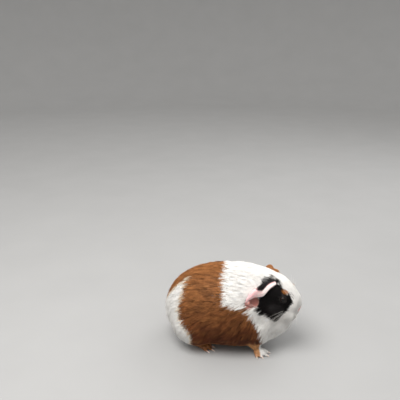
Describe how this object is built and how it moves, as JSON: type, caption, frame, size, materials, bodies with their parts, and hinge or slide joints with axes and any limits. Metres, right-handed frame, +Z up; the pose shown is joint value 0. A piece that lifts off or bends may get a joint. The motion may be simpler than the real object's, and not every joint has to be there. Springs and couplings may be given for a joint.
{
  "type": "guinea pig",
  "caption": "Life-size still guinea pig with a smooth brown, white and black coat, crouching on all fours with its head turned slightly to its right.",
  "frame": {"origin": "on the floor, under the middle of the animal's bounding box", "axes": "+X the way the body faces, +Y its left side, +Z up"},
  "size_m": [0.1896, 0.1154, 0.1163],
  "materials": {
    "coat": "soft fur, chestnut brown, white and black",
    "ear_skin": "thin bare pink skin, matt",
    "nose_skin": "pale pink skin, slightly moist",
    "paw": "thin short hair over pink skin",
    "claw": "pale translucent horn",
    "eye": "wet, glossy, near black"
  },
  "bodies": {
    "root": {"head": "coat", "lower_jaw": "coat", "neck": "coat", "trunk": "coat", "nose": "nose_skin", "right_ear": "ear_skin", "right_eye": "eye", "right_thigh": "coat", "right_foreleg": "coat", "right_forepaw": "paw", "right_hind_foot": "paw", "right_forepaw_claw_1": "claw", "right_forepaw_claw_2": "claw", "right_forepaw_claw_3": "claw", "right_forepaw_claw_4": "claw", "right_hind_foot_claw_1": "claw", "right_hind_foot_claw_2": "claw", "right_hind_foot_claw_3": "claw", "left_ear": "ear_skin", "left_eye": "eye", "left_thigh": "coat", "left_foreleg": "coat", "left_forepaw": "paw", "left_hind_foot": "paw", "left_forepaw_claw_1": "claw", "left_forepaw_claw_2": "claw", "left_forepaw_claw_3": "claw", "left_forepaw_claw_4": "claw", "left_hind_foot_claw_1": "claw", "left_hind_foot_claw_2": "claw", "left_hind_foot_claw_3": "claw"}
  },
  "joints": []
}
